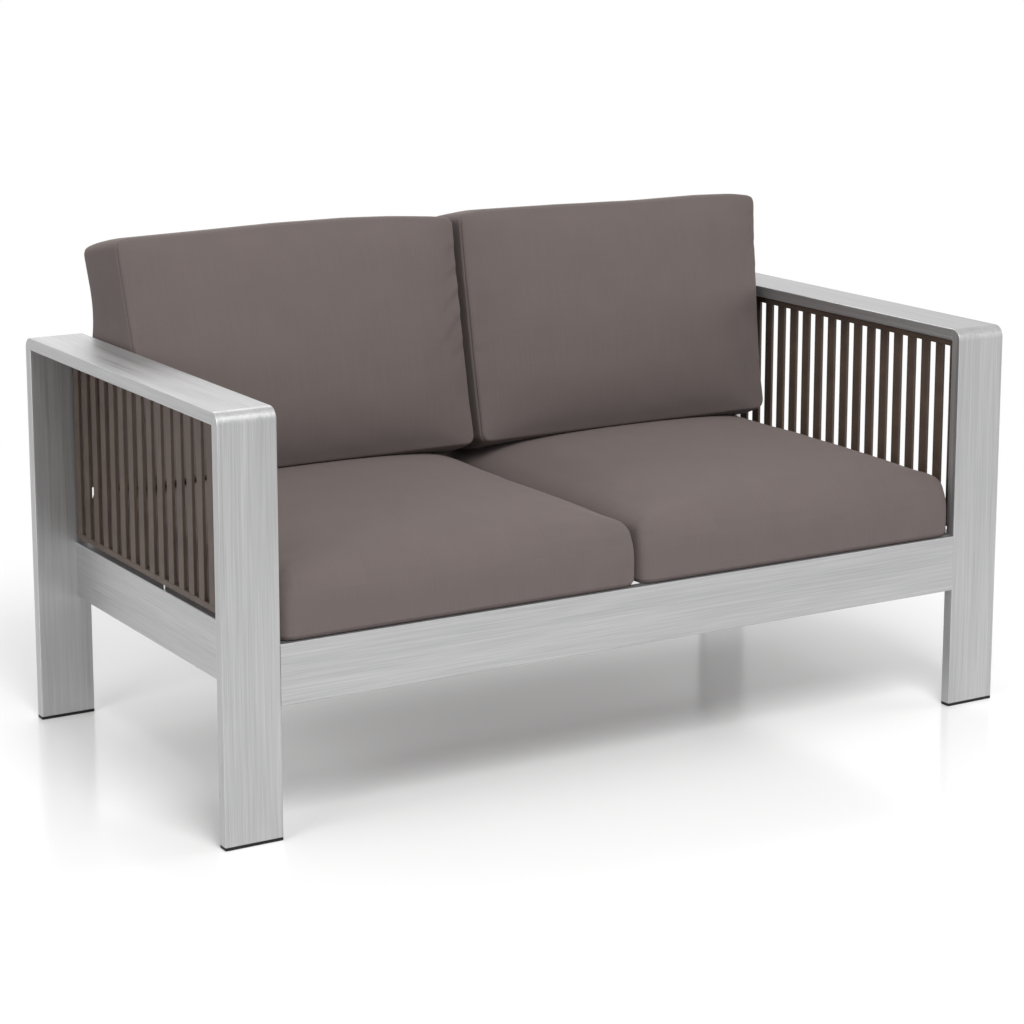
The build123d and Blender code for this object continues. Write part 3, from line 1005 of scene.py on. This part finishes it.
@dataclass(frozen=True)
class Stitching:
    """A row of thread stitches that lie on a surface, each a short six-sided bead with blunt ends."""

    pitch: float = 4.6 * MM
    length: float = 3.4 * MM
    radius: float = 0.6 * MM
    sides: int = 6
    ring_places: tuple[float, ...] = (-0.5, -0.3, 0.3, 0.5)
    ring_sizes: tuple[float, ...] = (0.5, 1.0, 1.0, 0.5)
    lift: float = 0.3 * MM

    def lay(self, path: np.ndarray, normals: np.ndarray) -> tuple[np.ndarray, list]:
        """Lay stitches evenly along a closed path.

        Each stitch is a stack of rings along the path's direction, at shares of its length and with
        shares of the thread's radius, closed by a face at each end.

        Args:
            path: points of the closed path, (n, 3).
            normals: the surface's unit normals at those points.

        Returns:
            Vertices and faces of all the stitches.
        """
        closed = np.concatenate([path, path[:1]])
        closed_normals = np.concatenate([normals, normals[:1]])
        way = np.concatenate([[0], np.cumsum(np.linalg.norm(np.diff(closed, axis=0), axis=-1))])
        count = int(way[-1] / self.pitch)
        stations = (np.arange(count) + 0.5) * way[-1] / count
        middle = along_path(closed, way, stations)
        ahead, behind = (along_path(closed, way, stations + step) for step in (MM, -MM))
        run = unit(ahead - behind)
        up = unit(along_path(closed_normals, way, stations))
        side = np.cross(run, up)
        places = np.array(self.ring_places)[:, None, None] * self.length
        radii = np.array(self.ring_sizes)[:, None, None] * self.radius
        turns = (np.arange(self.sides) * 2 * math.pi / self.sides)[:, None]
        round_thread = side[:, None, None] * np.cos(turns) + up[:, None, None] * np.sin(turns)
        points = middle[:, None, None] + run[:, None, None] * places + round_thread * radii
        numbers = np.arange(points[..., 0].size).reshape(points.shape[:3])
        turned = np.roll(numbers, -1, axis=2)
        walls = np.stack(
            [numbers[:, :-1], turned[:, :-1], turned[:, 1:], numbers[:, 1:]], axis=-1
        ).reshape(-1, 4)
        caps = np.concatenate([numbers[:, 0, ::-1], numbers[:, -1]])
        return points.reshape(-1, 3), walls.tolist() + caps.tolist()


@dataclass
class CushionSet:
    """The two seat cushions and the two back cushions."""

    fabric: bpy.types.Material
    thread: bpy.types.Material
    seat_wall: float = 60 * MM
    seat_top_edge: float = 36 * MM
    seat_crown: float = 24 * MM
    seat_pressure: float = 1.0
    seat_spread: float = 1.8 * MM
    seat_tail: float = 2.4 * MM
    seat_foot_edge: float = 7 * MM
    shrink: float = 2 * MM
    pressed_start: float = 112 * MM
    pressed_height: float = 428 * MM
    pressed_fall: float = 9.0
    pressed_blend: float = 8 * MM
    back_lean: float = 11.0
    back_wall: float = 134 * MM
    back_length: float = 394 * MM
    back_edge: float = 5 * MM
    back_belly: float = 32 * MM
    back_tuck: float = 8 * MM
    back_movement: float = 6 * MM
    back_taper: float = 20 * MM
    back_flare: float = 7 * MM
    back_rise: float = 30 * MM
    back_sink: float = 24 * MM
    seam_depth: float = 3.4 * MM
    rest_gap: float = 0.6 * MM
    side_room: float = 1.0 * MM
    under_arm: float = 25 * MM
    over_arm: float = 8 * MM
    unlimited: float = 1.0
    slump_across: tuple[float, float] = (0.30, 0.57)
    slump_down: tuple[float, float] = (0.70, 0.52)
    slump_deep: tuple[float, float] = (0.25, 1.0)
    drop_down: tuple[float, float] = (0.52, 0.40)
    slump_drop: float = 10 * MM
    made: dict[str, Cushion] = field(default_factory=dict)

    def seat(self, side: str) -> Cushion:
        """The seat cushion of one side, its near face on top."""
        low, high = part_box(f"{side}_seat_cushion")
        seam_height = low[2] + self.seat_foot_edge + self.seat_wall
        return Cushion(
            name=f"{side}_seat_pad",
            node=f"{side}_seat_cushion",
            width=high[0] - low[0] + self.seat_spread,
            length=high[1] - low[1] + self.seat_tail,
            wall=self.seat_wall,
            origin=Vector((
                (low[0] + high[0] + SIDES[side] * self.seat_spread) / 2,
                (low[1] + high[1] + self.seat_tail) / 2,
                seam_height,
            )),
            across=Vector((1, 0, 0)),
            along=Vector((0, 1, 0)),
            corner=26 * MM,
            upper_corner=5 * MM,
            near_edge=self.seat_top_edge,
            near_crown=self.seat_crown,
            far_edge=self.seat_foot_edge,
            fill=0.7,
            cells=(60, 66, 10),
            near_inset=3 * MM,
            far_inset=0.0,
            firmness=1.0,
            pressure=self.seat_pressure,
            held_below=True,
        )

    def back(self, side: str) -> Cushion:
        """The back cushion of one side, leaning on the top back rail, its near face to the front."""
        low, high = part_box(f"{side}_back_cushion")
        rail_low, rail_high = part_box("back_top_rail")
        lean = math.radians(self.back_lean)
        up = Vector((0, math.sin(lean), math.cos(lean)))
        rearward = Vector((0, math.cos(lean), -math.sin(lean)))
        rail_edge = Vector((0, rail_low[1], rail_high[2]))
        seam_plane = rail_edge.dot(rearward) - self.back_rise - self.back_wall
        seat_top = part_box(f"{side}_seat_cushion")[1][2]
        foot = (seat_top - self.back_sink + seam_plane * math.sin(lean)) / math.cos(lean)
        middle = rearward * seam_plane + up * (foot + self.back_length / 2)
        middle.x = (low[0] + high[0]) / 2
        return Cushion(
            name=f"{side}_back_pad",
            node=f"{side}_back_cushion",
            width=high[0] - low[0] - self.shrink,
            length=self.back_length,
            wall=self.back_wall,
            origin=middle,
            across=Vector((1, 0, 0)),
            along=up,
            corner=20 * MM,
            upper_corner=15 * MM,
            near_edge=self.back_edge,
            far_edge=self.back_edge,
            fill=0.6,
            belly=self.back_belly,
            tuck=self.back_tuck,
            movement_cap=self.back_movement,
            taper=self.back_taper,
            flare=self.back_flare,
            outer_side=SIDES[side],
            seam_depth=self.seam_depth,
            **(LEFT_BACK if side == "left" else RIGHT_BACK),
        )

    def pressed(self, y: np.ndarray) -> np.ndarray:
        """The height to which a back cushion presses the seat: a plane that falls to the rear."""
        fall = math.tan(math.radians(self.pressed_fall))
        return self.pressed_height - (y - self.pressed_start) * fall

    def press_seat(self, points: np.ndarray) -> np.ndarray:
        """Lower a seat cushion's top to the pressed plane, rounded where the two meet.

        The rounding is the smooth least value: half of the sum less the root of the squared
        difference plus the squared blend.
        """
        plane = self.pressed(points[:, 1])
        gap = points[:, 2] - plane
        lowered = 0.5 * (points[:, 2] + plane - np.sqrt(gap**2 + self.pressed_blend**2))
        result = points.copy()
        result[:, 2] = np.where(gap > -4 * self.pressed_blend, lowered, points[:, 2])
        return result

    def seat_height(self, seat: Cushion, points: np.ndarray) -> np.ndarray:
        """The height of a finished seat cushion's top below points, read from its near grid."""
        top = seat.place(seat.skin.near.reshape(-1, 3)).reshape(seat.skin.near.shape)
        across, along = top[:, top.shape[1] // 2, 0], top[top.shape[0] // 2, :, 1]
        i = np.interp(points[:, 0], across, np.arange(len(across)))
        j = np.interp(points[:, 1], along, np.arange(len(along)))
        low_i = np.clip(i.astype(int), 0, len(across) - 2)
        low_j = np.clip(j.astype(int), 0, len(along) - 2)
        part_i, part_j = i - low_i, j - low_j
        height = top[..., 2]
        front = height[low_i, low_j] * (1 - part_i) + height[low_i + 1, low_j] * part_i
        rear = height[low_i, low_j + 1] * (1 - part_i) + height[low_i + 1, low_j + 1] * part_i
        return front * (1 - part_j) + rear * part_j

    def fill_corner(self, back: Cushion, points: np.ndarray) -> np.ndarray:
        """Let the outer lower rear corner of a back cushion slump back and out towards the panels.

        The share of the way that a point goes is the product of smooth steps: outwards, downwards and
        back through the wall. Its lowest part also drops.
        """
        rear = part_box("back_top_rail")[0][1] - self.rest_gap
        leg = inner_edge("right_front_leg") - self.rest_gap
        reach = np.abs(points[:, 0])
        deep = -back.unplace(points)[:, 2] / back.wall
        weight = smooth_step(reach, *self.slump_across) * smooth_step(points[:, 2], *self.slump_down)
        weight *= smooth_step(deep, *self.slump_deep)
        slumped = points.copy()
        slumped[:, 0] += np.sign(points[:, 0]) * weight * np.maximum(leg - reach, 0)
        slumped[:, 1] += weight * np.maximum(rear - points[:, 1], 0)
        slumped[:, 2] -= weight * smooth_step(points[:, 2], *self.drop_down) * self.slump_drop
        return slumped

    def settle_back(self, side: str, back: Cushion, points: np.ndarray) -> np.ndarray:
        """Flatten a back cushion where it meets the seat, the top rail, the side and its twin."""
        rail_low, rail_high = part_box("back_top_rail")
        arm_low, arm_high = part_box(f"{side}_armrest")
        settled = self.fill_corner(back, points)
        floor = self.seat_height(self.made[f"{side}_seat_cushion"], settled) + self.rest_gap
        settled[:, 2] = np.maximum(settled[:, 2], floor)
        held = np.minimum(settled[:, 1], rail_low[1] - self.rest_gap)
        settled[:, 1] = np.where(settled[:, 2] < rail_high[2], held, settled[:, 1])
        arm_edge = inner_edge(f"{side}_armrest") - self.side_room
        panel_edge = inner_edge(f"{side}_panel_header") - self.side_room
        heights = (arm_low[2] - self.under_arm, arm_low[2], arm_high[2], arm_high[2] + self.over_arm)
        room = np.interp(settled[:, 2], heights, (panel_edge, arm_edge, arm_edge, self.unlimited))
        reach = np.maximum(np.minimum(np.abs(settled[:, 0]), room), self.side_room)
        settled[:, 0] = reach * SIDES[side]
        return settled

    def settle_seat(self, side: str, points: np.ndarray) -> np.ndarray:
        """Flatten a seat cushion on the deck, between the legs and against its twin."""
        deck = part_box("front_rail")[1][2]
        leg_edge = inner_edge(f"{side}_front_leg") - self.rest_gap
        settled = points.copy()
        settled[:, 2] = np.maximum(settled[:, 2], deck + self.rest_gap)
        settled[:, 0] = np.clip(np.abs(settled[:, 0]), self.rest_gap, leg_edge) * SIDES[side]
        return settled

    def finish(self, cushion: Cushion) -> None:
        """Refine a padded cushion, turn it into an object and put it in its node's place."""
        places = cushion.refine()
        lines = cushion.lines()
        flat_lines = tuple(resample(lines[k][:, None], places[k])[:, 0] for k in (0, 1))
        skin = cushion.skin
        pad = mesh_object(
            cushion.name,
            cushion.place(skin.points()),
            skin.quads().tolist(),
            skin.cloth_map(flat_lines),
            skin.numbering()[2][:, [0, -1]].ravel() if cushion.seam_depth else None,
        )
        smooth = pad.modifiers.new("Subdivision", "SUBSURF")
        smooth.levels = smooth.render_levels = 1
        pad.data.materials.append(self.fabric)
        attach(pad, cushion.node)
        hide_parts(cushion.node)
        log.info("built %s", cushion.name)

    def stitch(self, cushion: Cushion) -> None:
        """Lay the seams' stitches in their grooves, half sunk in the cloth, their dark thread
        painting the groove's shade.
        """
        row_kind = Stitching()
        beads: list[np.ndarray] = []
        faces: list = []
        for column in (0, -1):
            ring = cushion.skin.wall[:, column]
            outward = outward_of(ring)
            points, own_faces = row_kind.lay(ring + outward * row_kind.lift, outward)
            offset = sum(len(bead) for bead in beads)
            faces += [[number + offset for number in face] for face in own_faces]
            beads.append(points)
        points = cushion.place(np.concatenate(beads))
        row = mesh_object(f"{cushion.name}_seam_stitches", points, faces)
        row.data.materials.append(self.thread)
        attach(row, cushion.node)
        log.info("sewed %s", row.name)

    def build(self) -> None:
        """Make all four cushions, seats first because the backs stand on them."""
        for side in SIDES:
            seat = self.seat(side)
            seat.shape()
            seat.pad()
            points = self.press_seat(seat.place(seat.skin.points()))
            seat.skin.read_back(seat.unplace(self.settle_seat(side, points)))
            self.made[seat.node] = seat
            self.finish(seat)
        for side in SIDES:
            back = self.back(side)
            back.shape()
            back.pad()
            back.plump()
            points = self.settle_back(side, back, back.place(back.skin.points()))
            back.skin.read_back(back.unplace(points))
            self.finish(back)
            self.stitch(back)


# ---------------------------------------------------------------------------------------------
# Studio: floor, light and camera
# ---------------------------------------------------------------------------------------------
@dataclass(frozen=True)
class Lamp:
    """A rectangular area lamp, its power in watts."""

    name: str
    place: tuple[float, float, float]
    size: tuple[float, float]
    power: float


@dataclass
class Studio:
    """A pale floor that fades into white, soft lamps, and the camera."""

    floor_radius: float = 12.0
    floor_rings: int = 8
    floor_spokes: int = 64
    floor_hex: str = "#F6F6F6"
    floor_roughness: float = 0.16
    floor_specular: float = 0.45
    floor_glow: float = 0.04
    fade_start: float = 1.0
    fade_end: float = 2.4
    ambient: float = 0.55
    lamps: tuple[Lamp, ...] = (
        Lamp("key_lamp", (-0.8, -3.3, 4.0), (2.0, 2.0), 150.0),
        Lamp("left_lamp", (-4.2, -1.6, 2.0), (2.0, 2.0), 60.0),
        Lamp("right_lamp", (3.8, -1.2, 1.2), (1.6, 1.6), 36.0),
        Lamp("rear_lamp", (0.4, 3.2, 3.2), (3.2, 1.6), 36.0),
    )
    lamp_target: tuple[float, float, float] = (0.0, 0.0, 0.35)
    camera_place: tuple[float, float, float] = (-2.21315, -3.67113, 1.36158)
    camera_yaw: float = -30.916
    camera_pitch: float = 10.967
    camera_shift: float = -0.12
    lens: float = 95.906
    sensor: float = 36.0
    clip: tuple[float, float] = (0.05, 100.0)

    def white_seen(self, tree: bpy.types.NodeTree) -> bpy.types.NodeSocket:
        """One for the rays that should meet plain white: seen, mirrored or passed through."""
        path = add_node(tree, "LightPath").outputs
        seen = path["Is Camera Ray"]
        for ray in ("Is Glossy Ray", "Is Transmission Ray"):
            inputs = {0: seen, 1: path[ray]}
            seen = add_node(tree, "Math", {"operation": "MAXIMUM"}, inputs).outputs[0]
        return seen

    def build_world(self) -> None:
        """White where it is seen, and an even grey light on the object."""
        world = bpy.data.worlds.new("studio")
        bpy.context.scene.world = world
        world.use_nodes = True
        tree = world.node_tree
        tree.nodes.clear()
        strength = weighted_sum(tree, (self.white_seen(tree), 1 - self.ambient), start=self.ambient)
        sky = add_node(tree, "Background", None, {"Color": WHITE, "Strength": strength})
        add_node(tree, "OutputWorld", None, {"Surface": sky.outputs[0]})

    def floor_material(self) -> bpy.types.Material:
        """Satin white floor near the object, plain white further out."""
        material, tree, shader = new_material("pale_floor")
        place = add_node(tree, "TexCoord").outputs["Object"]
        far = add_node(tree, "VectorMath", {"operation": "LENGTH"}, {0: place}).outputs["Value"]
        ends = {"Value": far, "From Min": self.fade_start, "From Max": self.fade_end}
        fade = add_node(tree, "MapRange", {"interpolation_type": "SMOOTHSTEP"}, ends).outputs[0]
        seen = self.white_seen(tree)
        connect(tree, shader, {
            "Base Color": linear(self.floor_hex),
            "Roughness": self.floor_roughness,
            "Specular IOR Level": self.floor_specular,
            "Emission Color": WHITE,
            "Emission Strength": weighted_sum(tree, (seen, self.floor_glow)),
        })
        glow = add_node(tree, "Emission", None, {"Strength": seen}).outputs[0]
        mix = add_node(tree, "MixShader", None, {0: fade, 1: shader.outputs[0], 2: glow})
        output = next(node for node in tree.nodes if node.type == "OUTPUT_MATERIAL")
        connect(tree, output, {"Surface": mix.outputs[0]})
        return material

    def build_floor(self) -> None:
        """A disc of rings and spokes, z = 0 everywhere, its rings wider further out."""
        rings, spokes = self.floor_rings, self.floor_spokes
        radii = self.floor_radius * (np.arange(1, rings + 1) / rings) ** 2
        turns = np.arange(spokes) * 2 * math.pi / spokes
        circle = np.stack([np.cos(turns), np.sin(turns), 0 * turns], axis=-1)
        points = np.concatenate([np.zeros((1, 3)), (radii[:, None, None] * circle).reshape(-1, 3)])
        numbers = 1 + np.arange(rings * spokes).reshape(rings, spokes)
        closed = np.concatenate([numbers, numbers[:, :1]], axis=1)
        quads = cell_corners(closed, True)
        hub = np.stack([np.zeros(spokes, dtype=int), closed[0, :-1], closed[0, 1:]], axis=-1)
        floor = mesh_object("studio_floor", points, quads.tolist() + hub.tolist())
        floor.data.materials.append(self.floor_material())

    def add_lamp(self, lamp: Lamp) -> None:
        """Hang one lamp so that it faces the middle of the seat."""
        light = bpy.data.lights.new(lamp.name, "AREA")
        light.shape = "RECTANGLE"
        light.size, light.size_y = lamp.size
        light.energy = lamp.power
        holder = bpy.data.objects.new(lamp.name, light)
        holder.location = lamp.place
        aim = Vector(self.lamp_target) - Vector(lamp.place)
        holder.rotation_euler = aim.to_track_quat("-Z", "Y").to_euler()
        bpy.context.scene.collection.objects.link(holder)

    def build_camera(self) -> None:
        """The camera, level from side to side, looking down a little with a small shift."""
        camera = bpy.data.cameras.new("studio_camera")
        camera.sensor_width = self.sensor
        camera.lens = self.lens
        camera.shift_y = self.camera_shift
        camera.clip_start, camera.clip_end = self.clip
        holder = bpy.data.objects.new("studio_camera", camera)
        holder.location = self.camera_place
        turn = (math.radians(90 - self.camera_pitch), 0.0, math.radians(self.camera_yaw))
        holder.rotation_euler = Euler(turn, "XYZ")
        bpy.context.scene.collection.objects.link(holder)
        bpy.context.scene.camera = holder

    def build(self) -> None:
        """Set up everything that isn't the object."""
        bpy.context.scene.view_settings.view_transform = "Standard"
        self.build_world()
        self.build_floor()
        for lamp in self.lamps:
            self.add_lamp(lamp)
        self.build_camera()
        log.info("built the studio")


def main() -> None:
    """Load the frame, dress it, and build the cushions and the studio."""
    logging.basicConfig(level=logging.INFO, format="%(message)s")
    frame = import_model()
    MetalFrame(frame["nodes"]).dress()
    CushionSet(TaupeWovenFabric().build(), SeamShadeThread().build()).build()
    Studio().build()


if __name__ == "__main__":
    main()
